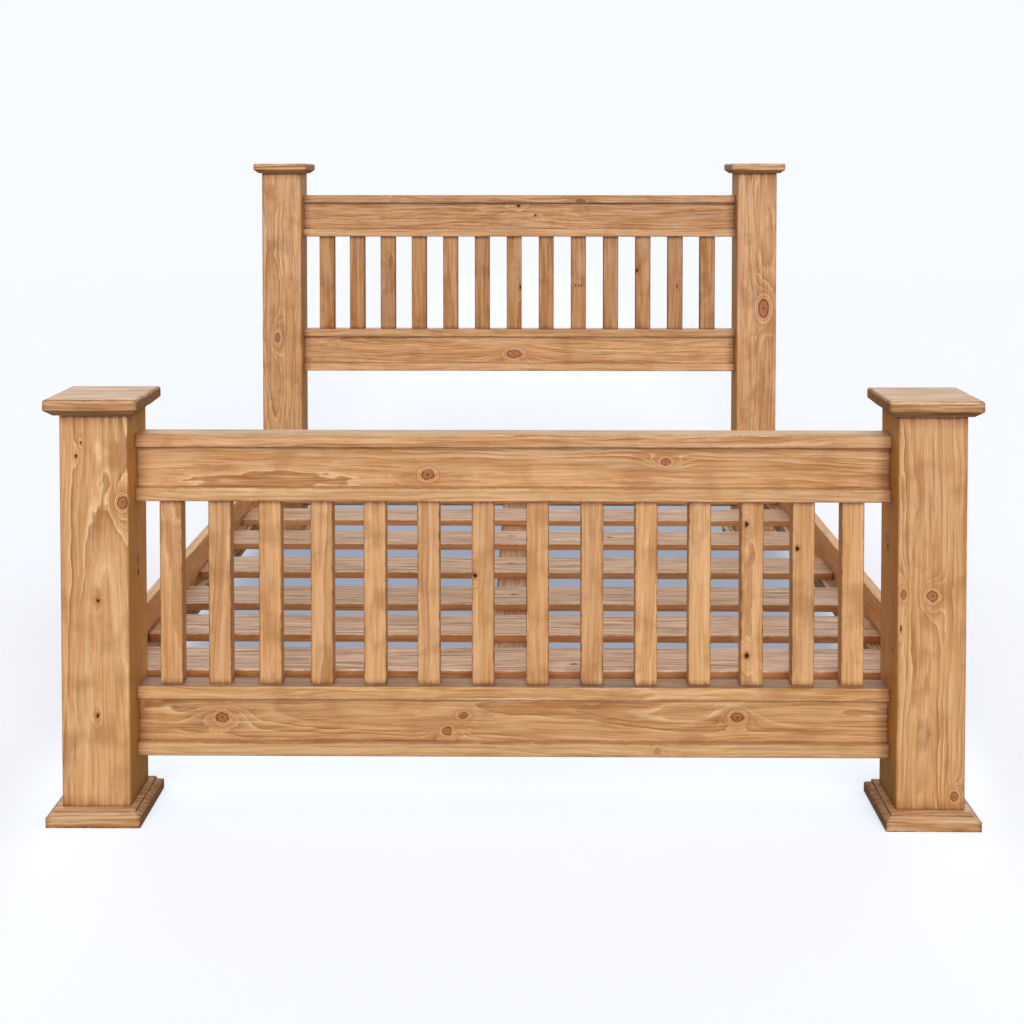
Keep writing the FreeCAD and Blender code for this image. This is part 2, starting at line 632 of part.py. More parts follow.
doc.recompute()
for thing in doc.Objects:
    if "Invalid" in thing.State or "Error" in thing.State:
        raise RuntimeError("%s is not built: %s" % (thing.Label, thing.State))
for node in nodes:
    if node.Shape.isNull() or not node.Shape.isValid():
        raise RuntimeError(node.Label + " has no valid shape")

os.makedirs("parts", exist_ok=True)
for node in nodes:
    node.Shape.exportStep("parts/%s.step" % node.Label)
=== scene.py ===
import math
import random

import bpy
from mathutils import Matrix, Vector


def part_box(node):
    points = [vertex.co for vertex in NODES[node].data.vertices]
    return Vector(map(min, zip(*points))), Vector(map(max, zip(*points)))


# A waxed pine spindle bed. Metres, +X right, +Y from the footboard to the headboard, +Z up. The CAD solids
# are shown as they are: this script gives them their materials, and adds a stage, light and a camera.

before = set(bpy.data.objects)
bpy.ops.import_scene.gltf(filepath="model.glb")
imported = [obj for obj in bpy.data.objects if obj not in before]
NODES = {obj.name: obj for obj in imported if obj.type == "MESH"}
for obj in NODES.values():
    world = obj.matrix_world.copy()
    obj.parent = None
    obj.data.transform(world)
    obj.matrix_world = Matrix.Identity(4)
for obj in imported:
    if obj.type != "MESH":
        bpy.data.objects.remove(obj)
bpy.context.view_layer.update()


# ---------------------------------------------------------------- node helpers

class Tree:
    """Adds nodes to a tree. A value may be a number, a vector or another node's socket."""

    def __init__(self, tree):
        self.nodes = tree.nodes
        self.links = tree.links

    def put(self, socket, value):
        if isinstance(value, bpy.types.NodeSocket):
            self.links.new(value, socket)
        else:
            socket.default_value = value

    def node(self, kind, values=(), **settings):
        """A new node, with values by place in a list or by name in a dictionary."""
        made = self.nodes.new("ShaderNode" + kind)
        for name, setting in settings.items():
            setattr(made, name, setting)
        for socket, value in values.items() if isinstance(values, dict) else enumerate(values):
            self.put(made.inputs[socket], value)
        return made

    def math(self, operation, *values):
        return self.node("Math", values, operation=operation).outputs[0]

    def total(self, *values):
        """The sum of several values."""
        result = values[0]
        for value in values[1:]:
            result = self.math("ADD", result, value)
        return result

    def product(self, *values):
        result = values[0]
        for value in values[1:]:
            result = self.math("MULTIPLY", result, value)
        return result

    def vector(self, operation, *values):
        made = self.node("VectorMath", values, operation=operation)
        return made.outputs["Value" if operation == "LENGTH" else "Vector"]

    def scaled(self, vector, by):
        return self.vector("MULTIPLY", vector, (by, by, by))

    def parts(self, vector):
        return self.node("SeparateXYZ", [vector]).outputs

    def noise(self, place, scale, detail=2.0, rough=0.5):
        """A value from 0 to 1, mostly near the middle."""
        values = {"Vector": place, "Scale": scale, "Detail": detail, "Roughness": rough}
        return self.node("TexNoise", values).outputs["Fac"]

    def drift(self, place, scale, detail=2.0):
        """A vector that wanders round zero."""
        values = {"Vector": place, "Scale": scale, "Detail": detail}
        return self.vector("SUBTRACT", self.node("TexNoise", values).outputs["Color"], (0.5, 0.5, 0.5))

    def spread(self, value, low, high, to_low=0.0, to_high=1.0):
        """The value's range low to high laid over another, held at both ends."""
        return self.node("MapRange", {"Value": value, "From Min": low, "From Max": high,
                                      "To Min": to_low, "To Max": to_high},
                         interpolation_type="SMOOTHSTEP").outputs[0]

    def hump(self, value, width):
        """One at zero, falling off either side over the width."""
        share = self.math("DIVIDE", value, width)
        return self.math("EXPONENT", self.product(share, share, -1.0))

    def blend(self, share, low, high):
        made = self.node("Mix", data_type="RGBA")
        for socket, value in ((0, share), (6, low), (7, high)):
            self.put(made.inputs[socket], value)
        return made.outputs[2]

    def stops(self, share, places):
        """A ramp through (place, value) stops, each a grey number or a colour."""
        made = self.nodes.new("ShaderNodeValToRGB")
        self.links.new(share, made.inputs[0])
        ramp = made.color_ramp
        while len(ramp.elements) < len(places):
            ramp.elements.new(0.5)
        for element, (place, value) in zip(ramp.elements, places):
            element.position = place
            element.color = value if isinstance(value, tuple) else (value, value, value, 1.0)
        return made.outputs[0]


def new_material(name):
    """A material and its shader."""
    material = bpy.data.materials.new(name)
    material.use_nodes = True
    return material, material.node_tree.nodes["Principled BSDF"]


def shade(red, green, blue):
    """A linear colour from the 0 to 255 numbers that a screen shows."""
    def linear(part):
        part /= 255.0
        return part / 12.92 if part <= 0.04045 else ((part + 0.055) / 1.055) ** 2.4
    return (linear(red), linear(green), linear(blue), 1.0)


def toned(colour, light, warmth):
    """The colour made lighter or darker, and warmer or cooler."""
    return (colour[0] * light, colour[1] * light * (1 - warmth / 3), colour[2] * light * (1 - warmth), 1.0)


# ---------------------------------------------------------------- pine: looks

# Colours and settings of each kind of piece. A share is how much of a layer of colour shows. In metres are
# edge_width of the darker arrises, end_shade_reach of the wax and painted shade towards the joints,
# rub_and_highlight_from an edge to its rubbed line with a painted highlight, the pith's distance from the
# piece's middle, its sway, and a ring's width. slope is how much the pith leans, taper how much the trunk
# narrows, and run the share of their pace that broad patterns keep along the grain.
PALETTE = ("pale", "warm", "bright", "late", "line", "end", "side", "dust_and_top_shading", "halo", "knot", "knot_dark",
           "rim", "pin", "grime_and_shade")
WAXED = {
    "pale": shade(222, 172, 120), "warm": shade(203, 149, 96), "bright": shade(240, 200, 152),
    "late": shade(158, 104, 56), "line": shade(132, 80, 40), "end": shade(160, 112, 66),
    "side": shade(196, 140, 64), "dust_and_top_shading": shade(214, 178, 146), "halo": shade(188, 128, 74),
    "knot": shade(182, 114, 66), "knot_dark": shade(148, 84, 44), "rim": shade(98, 50, 26),
    "pin": shade(44, 24, 16), "grime_and_shade": shade(84, 46, 20),
    "end_share": 0.6, "side_shade_share": 0.0, "dust_and_top_shading_share": 0.25, "under_shade_share": 0.0,
    "rub_and_highlight_share": 0.0, "rub_and_highlight_from": 0.0, "joint_share": 0.8,
    "edge_width": 0.002, "edge_share": 0.75, "end_shade_reach": 0.035,
    "run": 0.35, "sway": 0.05, "pith": (0.03, 0.09), "slope": 0.03, "taper": 0.016, "ring": 0.0105,
    "contrast": 1.0, "streaks": 0.5, "threads": 0.33, "patches": 0.35,
    "rough": 0.4, "gloss": 0.5, "bump": 0.3,
}
POST = dict(WAXED, side=shade(196, 135, 52), side_shade_share=0.8, edge_share=0.5, end_shade_reach=0.03,
            pith=(0.02, 0.06), ring=0.0095, streaks=0.35, threads=0.24, patches=0.5)
HEAD_POST = dict(POST, side_shade_share=0.3)
CAP = dict(WAXED, pale=shade(212, 162, 112), warm=shade(182, 130, 80), dust_and_top_shading=shade(246, 214, 182),
           dust_and_top_shading_share=0.45, under_shade_share=0.35, rub_and_highlight_share=0.8, rub_and_highlight_from=0.0045, joint_share=0.0,
           edge_share=1.3, edge_width=0.0018, end_shade_reach=0.012, streaks=1.0)
SPINDLE = dict(WAXED, side=shade(176, 118, 60), side_shade_share=0.7, edge_width=0.0018, edge_share=1.2,
               end_shade_reach=0.014, sway=0.03, ring=0.014, contrast=0.6, streaks=0.25, threads=0.18, patches=0.55)
SIDE_RAIL = dict(WAXED, edge_share=0.9, contrast=0.5, streaks=0.25)
SLAT = dict(WAXED, pale=shade(208, 168, 136), warm=shade(176, 138, 110), bright=shade(244, 212, 184),
            late=shade(126, 90, 66), line=shade(100, 66, 44), dust_and_top_shading=shade(214, 182, 158),
            side=shade(172, 109, 50), side_shade_share=0.85, dust_and_top_shading_share=0.3, rub_and_highlight_share=0.8, joint_share=0.3,
            edge_share=0.6, end_shade_reach=0.01, ring=0.006, streaks=1.0)
# The centre rail's wide dark arrises are painted shade at its sides, under the slats.
CENTRE_RAIL = dict(SLAT, rub_and_highlight_share=0.0, edge_width=0.004, edge_share=1.0, ring=0.012, contrast=0.5,
                   streaks=0.4)
RAIL_CAPPING = dict(WAXED, rub_and_highlight_share=0.3, edge_share=0.45)
# The lower capping's top is dusted and darker with painted shade under the top rail and spindles.
DUSTY_SHADED_CAPPING = dict(RAIL_CAPPING, dust_and_top_shading=shade(96, 82, 74), dust_and_top_shading_share=0.95, gloss=0.3)

# The look of each kind of piece: the first text that is in the name counts.
LOOKS = (
    ("foot_lower_capping", DUSTY_SHADED_CAPPING), ("head_post", HEAD_POST), ("side_rail", SIDE_RAIL),
    ("centre_rail", CENTRE_RAIL), ("post", POST), ("leg", POST), ("_cap_", CAP), ("plinth", CAP),
    ("spindle", SPINDLE), ("slat", SLAT), ("capping", RAIL_CAPPING), ("", WAXED),
)
# How light and how warm each kind of piece came out: the first text that starts the name counts.
TONES = (
    ("head_spindle", (0.72, 0.34)), ("head_top", (0.81, 0.18)), ("head_lower_rail", (0.98, 0.0)),
    ("head", (0.96, 0.0)), ("foot_post", (1.08, -0.05)), ("foot_top_capping", (1.01, -0.02)),
    ("foot_top", (1.06, 0.0)), ("foot_lower_capping", (1.08, -0.06)), ("foot_spindle", (1.08, -0.06)),
    ("foot_plinth", (1.00, -0.04)), ("foot_cap", (0.90, -0.03)), ("side_rail", (1.15, 0.15)),
    ("centre_rail", (1.0, 0.1)), ("slats", (1.20, 0.0)), ("", (1.0, 0.0)),
)
# How much lighter or darker chance makes a piece, and what its grain's own draws add to the seed.
TONE_CHANCE = (0.95, 1.05)
GRAIN_SEED = 11


# ---------------------------------------------------------------- pine: material

AXES = "xyz"

# Scales of the noises: about how often each changes in a metre.
BEND_SCALE = 5.0
CLOUD_SCALE = 9.0
PATCH_SCALE = 14.0
FADE_SCALE = 16.0
WAVE_SCALE = 26.0
RIPPLE_SCALE = 60.0
WEAR_SCALE = 70.0
KNOT_SCALE = 110.0
CHIP_SCALE = 130.0
# Noises that run along the grain: the share of their scale that counts along it, the scale, the detail
# and the roughness.
FIBRES = (0.012, 800.0, 3.0, 0.6)
THREADS = (0.018, 420.0, 2.0, 0.5)
STREAKS = (0.035, 150.0, 3.0, 0.5)
CLOUD_SHIFT = (3.1, 1.7, 5.2)
# The middle of a noise's range, where most of its values lie.
MIDDLE = (0.35, 0.62)
# How squarely a face looks along an axis, as a cosine: where it begins to count, and where it fully does.
FACE_ON = (0.6, 0.95)
# Shares of the dark fibres, and of the darkening at the ends: wax pooled at the joints, with painted shade.
FIBRE_SHARE = 0.22
END_WAX_AND_SHADE_SHARE = 0.62
# How far noise moves the outlines of knots and the worn edges, in metres.
KNOT_SHAKE = 0.008
WEAR_SHAKE = 0.004
# Reaches in metres: of the faint painted shade by a groove, of the dark line at a joint, of a rubbed line
# with a painted highlight, and of the bump.
GROOVE_REACH = 0.005
JOINT_REACH = 0.003
RUB_HIGHLIGHT_OUTER, RUB_HIGHLIGHT_INNER = 0.005, 0.001
BUMP_DEPTH = 0.001

# Growth rings, counted in rings: how uneven their edges are, and how wide and narrow years take turns.
RIPPLE = 0.5
YEAR_PACE, YEAR_SWING = 1.7, 0.42
KIND_SHIFT = 0.37
# Across one growth ring: its dark late wood, and the bright line where the next one starts.
RING_LATE = ((0.0, 0.0), (0.35, 0.1), (0.7, 0.55), (0.88, 1.0), (1.0, 0.0))
RING_BRIGHT = ((0.0, 1.0), (0.08, 0.7), (0.24, 0.0), (0.97, 0.0), (1.0, 1.0))
# Colours of a knot from its middle out to twice its radius.
KNOT_RINGS = (
    (0.0, "pin"), (0.06, "rim"), (0.13, "knot"), (0.20, "knot_dark"), (0.28, "knot"), (0.38, "knot_dark"),
    (0.45, "rim"), (0.51, "halo"), (0.57, "pale"), (0.62, "late"), (0.68, "pale"), (0.76, "bright"),
    (0.82, "halo"), (0.9, "pale"),
)
# Shapes round each knot: how much longer than the knot they are along the grain, and how much wider.
KNOT_SHAPES = {"heart": (1.0, 1.0), "eye": (2.7, 1.15), "whisker": (1.9, 0.22)}
# How a knot pushes the growth rings aside: the shape, its reach, and by how many rings.
KNOT_PUSHES = (("eye", 1.5, 1.8), ("heart", 2.1, 1.2))


class Pine(Tree):
    """Solid pine for one piece. Each method lays its part of the wood over what is there."""

    def __init__(self, tree, box, grain, seed, look, tone):
        super().__init__(tree)
        self.low, self.high = box
        self.grain = grain
        self.along = AXES.index(grain)
        self.look = look
        self.colours = {part: toned(look[part], *tone) for part in PALETTE}
        self.rng = random.Random(seed)
        self.offset = tuple(self.rng.uniform(-9, 9) for _ in range(3))
        self.here = self.node("TexCoord").outputs["Object"]
        self.facing = self.parts(self.node("NewGeometry").outputs["True Normal"])
        self.patch = self.noise(self.vector("ADD", self.here, self.offset), PATCH_SCALE, 3.0)

    def tint(self, part, share):
        """Lays a colour of the palette over the wood."""
        self.colour = self.blend(share, self.colour, self.colours[part])

    def knot_field(self, knots):
        """Distances to the nearest knot, in its own radii, one for each of the knot's shapes."""
        shake = self.scaled(self.drift(self.here, KNOT_SCALE, 3.0), KNOT_SHAKE)
        shaken = self.vector("ADD", self.here, shake)
        field = {}
        for shape, (lengthened, widened) in KNOT_SHAPES.items():
            nearest = None
            for place, through, radius, stretch, depth in knots:
                reach = [1.0 / (radius * widened)] * 3
                reach[self.along] = 1.0 / (radius * stretch * lengthened)
                reach[AXES.index(through)] = 1.0 / depth
                away = self.vector("MULTIPLY", self.vector("SUBTRACT", shaken, tuple(place)), tuple(reach))
                distance = self.vector("LENGTH", away)
                nearest = distance if nearest is None else self.math("MINIMUM", nearest, distance)
            field[shape] = nearest
        return field

    def grow(self, knots, pins):
        """Growth rings round a leaning, bent pith, pushed out round the knots."""
        look, rng = self.look, self.rng
        # The wood's own coordinates: two across the grain, then one along it.
        apart = self.parts(self.vector("SUBTRACT", self.here, tuple((self.low + self.high) / 2)))
        across = [apart[axis] for axis in range(3) if axis != self.along]
        length = apart[self.along]
        local = self.node("CombineXYZ", [*across, length]).outputs[0]
        shortened = self.vector("MULTIPLY", local, (1.0, 1.0, look["run"]))
        self.stretched = self.vector("ADD", shortened, self.offset)
        bend = self.drift(self.stretched, BEND_SCALE, 3.0)
        bend = self.vector("MULTIPLY", bend, (look["sway"], look["sway"], 0.0))
        self.bent = self.vector("ADD", local, bend)

        depth = rng.uniform(*look["pith"])
        turn = rng.uniform(0.0, 2 * math.pi)
        lean = [rng.uniform(-1, 1) * look["slope"] for _ in range(2)]
        pith = (math.cos(turn) * depth, math.sin(turn) * depth, 0.0)
        drawn = self.vector("MULTIPLY", self.node("CombineXYZ", [length] * 3).outputs[0], (*lean, 1.0))
        away = self.vector("SUBTRACT", self.vector("SUBTRACT", self.bent, pith), drawn)
        radius = self.vector("LENGTH", away)
        radius = self.total(radius, self.product(length, rng.choice((-1, 1)) * look["taper"]))
        self.knots, self.pins = (self.knot_field(group) if group else None for group in (knots, pins))
        for field in filter(None, (self.knots, self.pins)):
            for shape, reach, rings in KNOT_PUSHES:
                push = self.product(self.hump(field[shape], reach), look["ring"] * rings)
                radius = self.total(radius, push)

        # Rings counted from the pith: uneven edges, and wide years and narrow ones.
        count = self.math("DIVIDE", radius, look["ring"])
        count = self.total(count, self.product(self.noise(self.stretched, RIPPLE_SCALE, 1.0), RIPPLE))
        years = self.math("SINE", self.product(count, YEAR_PACE))
        count = self.total(count, self.product(years, YEAR_SWING))
        share = self.math("FRACT", count)
        order = self.math("FLOOR", count)
        self.year, self.kind = (
            self.node("TexWhiteNoise", {"W": self.total(order, past)}, noise_dimensions="1D").outputs[0]
            for past in (0.0, KIND_SHIFT))
        faded = self.spread(self.noise(self.stretched, FADE_SCALE, 2.0), 0.34, 0.62, 0.4, 1.0)
        self.late = self.product(self.stops(share, RING_LATE),
                                 self.spread(self.year, 0.0, 1.0, 0.3, 1.0), faded)
        self.bright = self.product(self.stops(share, RING_BRIGHT),
                                   self.spread(self.kind, 0.25, 0.75, 0.15, 1.0), faded)

    def draw_grain(self):
        """The rings' colours, streaks, threads and fibres along the grain, and broad changes of tone."""
        run, *settings = FIBRES
        self.fibre = self.noise(self.vector("MULTIPLY", self.bent, (1.0, 1.0, run)), *settings)
        thread, self.streak = (
            self.noise(self.vector("ADD", self.vector("MULTIPLY", self.bent, (1.0, 1.0, run)), self.offset),
                       *settings)
            for run, *settings in (THREADS, STREAKS))
        cloud = self.noise(self.vector("ADD", self.stretched, CLOUD_SHIFT), CLOUD_SCALE, 3.0)
        zone = self.total(self.product(self.year, 0.55), self.product(self.spread(cloud, 0.32, 0.68), 0.45))
        contrast, streaks, threads = (self.look[setting] for setting in ("contrast", "streaks", "threads"))
        self.colour = self.blend(zone, self.colours["pale"], self.colours["warm"])
        self.tint("halo", self.spread(self.kind, 0.0, 0.22, 0.5 * contrast, 0.0))
        self.tint("bright", self.product(self.bright, contrast))
        self.tint("late", self.product(self.late, contrast))
        self.tint("late", self.spread(self.streak, 0.48, 0.72, 0.0, streaks))
        self.tint("bright", self.spread(self.streak, 0.3, 0.46, streaks * 0.6, 0.0))
        self.tint("late", self.spread(thread, 0.54, 0.66, 0.0, threads))
        self.tint("bright", self.spread(thread, 0.34, 0.46, threads, 0.0))
        self.tint("line", self.spread(self.fibre, 0.4, 0.75, 0.0, FIBRE_SHARE))
        self.tint("late", self.spread(self.patch, 0.48, 0.72, 0.0, self.look["patches"]))

    def colour_faces(self):
        """Cut ends are darker. Boards also have painted shade on their sides, and those across the bed have
        dusted tops with painted light (a paler sheen, and darker shade on the lower capping) and, on caps and
        plinths, painted shade on their undersides."""
        look, facing = self.look, self.facing
        cut = self.math("ABSOLUTE", facing[self.along])
        self.tint("end", self.spread(cut, *FACE_ON, 0.0, look["end_share"]))
        if self.grain != "y":
            side = self.math("ABSOLUTE", facing[1 if self.grain == "x" else 0])
            # Painted shade: sides that get less of the light are darker.
            self.tint("side", self.product(self.spread(side, *FACE_ON, 0.0, look["side_shade_share"]),
                                           self.spread(self.streak, 0.4, 0.62, 1.0, 0.7)))
        if self.grain == "x":
            # Dusted tops with painted light: a paler sheen, and darker shade on the lower capping.
            dusty_shaded_top = self.product(self.spread(facing[2], 0.7, 0.95),
                                 self.spread(self.streak, 0.35, 0.6, 1.0, 0.5),
                                 self.spread(self.patch, 0.4, 0.6, 0.8, 1.0))
            self.tint("dust_and_top_shading", self.product(dusty_shaded_top, look["dust_and_top_shading_share"]))
            # Painted shade on the undersides of caps and plinths.
            self.tint("grime_and_shade", self.spread(facing[2], -0.7, -0.2, look["under_shade_share"], 0.0))

    def draw_knots(self):
        """Large knots have a dark middle, red-brown rings, a dark rim, a pale collar with a line in it,
        wavy lines around and a dark whisker either way along the grain. Small ones are plain and dark."""
        if self.knots:
            nearest = self.knots["heart"]
            self.tint("halo", self.spread(nearest, 1.2, 3.4, 0.5, 0.0))
            wrap = self.math("SINE", self.total(self.product(nearest, 11.0), self.product(self.patch, 3.0)))
            self.tint("late", self.product(self.spread(wrap, 0.1, 1.0),
                                           self.spread(nearest, 1.5, 2.5, 0.5, 0.0)))
            rings = self.stops(self.product(nearest, 0.5),
                               [(place, self.colours[part]) for place, part in KNOT_RINGS])
            self.colour = self.blend(self.spread(nearest, 1.1, 1.75, 1.0, 0.0), self.colour, rings)
            self.tint("rim", self.product(self.spread(self.knots["whisker"], 0.3, 1.0, 0.75, 0.0),
                                          self.spread(nearest, 0.85, 1.0)))
        if self.pins:
            nearest = self.pins["heart"]
            self.tint("late", self.spread(nearest, 0.9, 2.4, 0.7, 0.0))
            spot = self.blend(self.spread(nearest, 0.0, 0.8), self.colours["pin"], self.colours["rim"])
            self.shine = self.spread(nearest, 0.6, 1.2)
            self.colour = self.blend(self.math("SUBTRACT", 1.0, self.shine), self.colour, spot)

    def edge_distance(self, here):
        """Distance to the nearest arris of the piece's box, and to the box's faces across each axis."""
        gaps = self.parts(self.vector("ABSOLUTE", self.vector(
            "MINIMUM", self.vector("SUBTRACT", here, tuple(self.low)),
            self.vector("SUBTRACT", tuple(self.high), here))))
        smaller = self.math("MINIMUM", gaps[0], gaps[1])
        larger = self.math("MAXIMUM", gaps[0], gaps[1])
        return self.math("MAXIMUM", smaller, self.math("MINIMUM", larger, gaps[2])), gaps

    def wear(self, lines):
        """Wax and dirt along the arrises, in the grooves and towards the joints, with painted shade by the
        grooves and joints, and rubbed edges and bright lines that are painted highlights with some wear.
        """
        look = self.look
        worn = self.vector("ADD", self.here, self.scaled(self.drift(self.here, WEAR_SCALE), WEAR_SHAKE))
        edge, gaps = self.edge_distance(worn)
        slow = self.noise(self.vector("ADD", self.scaled(self.here, 0.6), self.offset), PATCH_SCALE, 3.0)
        chipped = self.spread(self.noise(self.here, CHIP_SCALE, 2.0), 0.4, 0.58, 0.35, 1.0)
        self.grime_and_shade = self.product(self.hump(edge, look["edge_width"]), self.spread(slow, *MIDDLE, 0.5, 1.0),
                                  chipped, look["edge_share"])
        level = self.parts(worn)[2]
        upright = self.spread(self.math("ABSOLUTE", self.facing[2]), 0.5, 0.9, 1.0, 0.0)
        for height, width, strength, part in lines:
            off = self.math("SUBTRACT", level, height)
            line = self.product(self.hump(off, width),
                                self.spread(slow, *MIDDLE, strength * 0.7, strength), upright)
            if part == "grime_and_shade":
                # A soft painted shade either side of the groove line.
                wide = self.product(self.hump(off, GROOVE_REACH), 0.2 * strength * strength, upright)
                self.grime_and_shade = self.math("MAXIMUM", self.grime_and_shade, self.math("MAXIMUM", line, wide))
            else:
                self.tint(part, line)
        if self.grain == "x":
            joint = self.product(self.hump(gaps[0], JOINT_REACH), look["joint_share"])
            self.grime_and_shade = self.math("MAXIMUM", self.grime_and_shade, joint)
        self.tint("grime_and_shade", self.grime_and_shade)
        # A painted highlight along the top arrises, with some wear.
        if look["rub_and_highlight_share"]:
            inside = self.math("SUBTRACT", edge, look["rub_and_highlight_from"])
            top = self.high.z - look["rub_and_highlight_from"]
            self.tint("bright", self.product(self.hump(inside, look["edge_width"]),
                                             self.spread(level, top - RUB_HIGHLIGHT_OUTER, top - RUB_HIGHLIGHT_INNER),
                                             self.spread(self.patch, 0.42, 0.6, 0.2, 1.0), look["rub_and_highlight_share"]))
        # Darker towards the ends: wax pooled at the joints, with painted shade.
        self.tint("line", self.product(self.spread(gaps[self.along], 0.0, look["end_shade_reach"], 1.0, 0.0),
                                       self.spread(self.streak, *MIDDLE, 0.45, 1.0), END_WAX_AND_SHADE_SHARE))

    def surface(self, shader):
        """Joins the colour to the shader, with the roughness, gloss and relief of the wood."""
        look = self.look
        self.put(shader.inputs["Base Color"], self.colour)
        self.put(shader.inputs["Roughness"],
                 self.total(look["rough"], self.product(self.late, -0.06), self.product(self.fibre, 0.1)))
        sheen = self.spread(self.streak, 0.36, 0.64, look["gloss"] * 1.7, look["gloss"] * 0.3)
        if self.pins:
            sheen = self.product(sheen, self.shine)
        self.put(shader.inputs["Specular IOR Level"], sheen)
        lengthwise = tuple(0.25 if axis == self.along else 1.0 for axis in range(3))
        waves = self.noise(self.vector("MULTIPLY", self.here, lengthwise), WAVE_SCALE, 2.0)
        height = self.total(self.product(self.late, 0.3), self.product(self.fibre, 0.4),
                            self.product(waves, 3.2), self.product(self.grime_and_shade, -0.5))
        bump = self.node("Bump", {"Height": height, "Strength": look["bump"], "Distance": BUMP_DEPTH})
        self.put(shader.inputs["Normal"], bump.outputs[0])


def pine(name, box, grain, seed, look, tone, knots, pins, lines):
    """Solid pine for a piece.

    knots are (place, through, radius, stretch, depth): the axis that each runs through the wood, its
    size, how much longer it is along the grain and how deep it goes. pins are small plain dark ones.
    lines are (height, width, share, colour): level lines, dark ones with wax and painted shade, bright ones
    painted highlights.
    """
    material, shader = new_material(name)
    wood = Pine(material.node_tree, box, grain, seed, look, tone)
    wood.grow(knots, pins)
    wood.draw_grain()
    wood.colour_faces()
    wood.draw_knots()
    wood.wear(lines)
    wood.surface(shader)
    return material


# ---------------------------------------------------------------- pieces

# How far tenons go into the next piece, and places on the rails and plinths, as in the CAD model.
TENON_X, TENON_Z = 0.050, 0.018
RAIL_RECESS, BEAD_HEIGHT = 0.015, 0.027
PLINTH_LIP_UNDER = 0.025

# Knots that the photograph shows on the faces towards the foot end: X, Z, radius and stretch.
SEEN_KNOTS = {
    "foot_top_rail": ((-0.168, 0.672, 0.0105, 1.3), (0.303, 0.698, 0.0075, 1.3)),
    "foot_lower_rail": ((-0.579, 0.184, 0.011, 1.2), (-0.130, 0.158, 0.009, 1.1),
                        (-0.098, 0.190, 0.007, 1.4), (0.447, 0.188, 0.010, 1.3), (0.287, 0.125, 0.006, 1.3)),
    "foot_post_left": ((-0.757, 0.630, 0.010, 1.3), (-0.847, 0.721, 0.0028, 1.2),
                       (-0.837, 0.746, 0.0018, 1.4), (-0.807, 0.438, 0.0032, 1.4),
                       (-0.809, 0.211, 0.0036, 1.4)),
    "foot_post_right": ((0.813, 0.451, 0.011, 1.0), (0.757, 0.454, 0.006, 1.7), (0.753, 0.387, 0.002, 3.0),
                        (0.859, 0.058, 0.008, 1.2)),
    "head_lower_rail": ((-0.018, 0.640, 0.014, 1.9),),
    "head_top_rail": ((-0.002, 1.155, 0.005, 1.3), (0.057, 1.121, 0.004, 1.3)),
    "head_top_capping": ((0.212, 1.172, 0.007, 2.4),),
    "head_post_left": ((-0.829, 0.703, 0.010, 1.7),),
    "head_post_right": ((0.837, 0.805, 0.019, 1.8),),
    "foot_spindle_07": ((-0.075, 0.471, 0.0045, 1.3),),
    "foot_spindle_12": ((0.463, 0.574, 0.0045, 1.3), (0.465, 0.312, 0.005, 1.3)),
    "foot_spindle_13": ((0.564, 0.527, 0.004, 1.3),),
    "head_spindle_07": ((0.005, 0.872, 0.004, 2.0),),
    "head_spindle_09": ((0.196, 0.878, 0.0025, 1.5), (0.207, 0.878, 0.0025, 1.5),
                        (0.218, 0.878, 0.0025, 1.5)),
    "head_spindle_11": ((0.408, 0.930, 0.004, 1.8),),
    "head_spindle_12": ((0.548, 0.876, 0.006, 1.5),),
}
SEEN_DEPTH = 1.5    # in radii
# Knots on the sides of posts and side rails: how many, and how far from the long edges and the ends.
SIDE_KNOTS, SIDE_MARGIN, END_MARGIN = 3, 0.035, 0.05
SIDE_RADII, SIDE_STRETCH = (0.004, 0.010), 1.3
ALL_THROUGH = 1000.0
# Small knots in the tops of the slats: X and Y of those seen, and the number and size of all others.
SLAT_KNOTS = ((-0.015, 0.077), (-0.012, -0.205), (-0.002, -0.477), (0.241, -0.601))
MORE_SLAT_KNOTS, SLAT_MARGIN = 9, 0.1
SLAT_RADIUS, SLAT_STRETCH, SLAT_DEPTH = 0.0035, 2.4, 0.004
# Knots under this radius are plain dark pins.
PIN_RADIUS = 0.0055

STEEL = ("corner_brackets", "bracket_screws")
FRAMED = ("foot_top_rail", "foot_lower_rail", "head_top_rail", "head_lower_rail")


def grain_of(name):
    if "post" in name or "spindle" in name or "leg" in name:
        return "z"
    if name.startswith(("side_rail", "slat_ledger")) or name == "centre_rail":
        return "y"
    return "x"


def shown_box(name):
    """The box of a piece without its tenons."""
    low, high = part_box(name)
    cut = Vector()
    if name.endswith("_rail") and name.startswith(("foot", "head")):
        cut.x = TENON_X
    if "spindle" in name:
        cut.z = TENON_Z
    return low + cut, high - cut


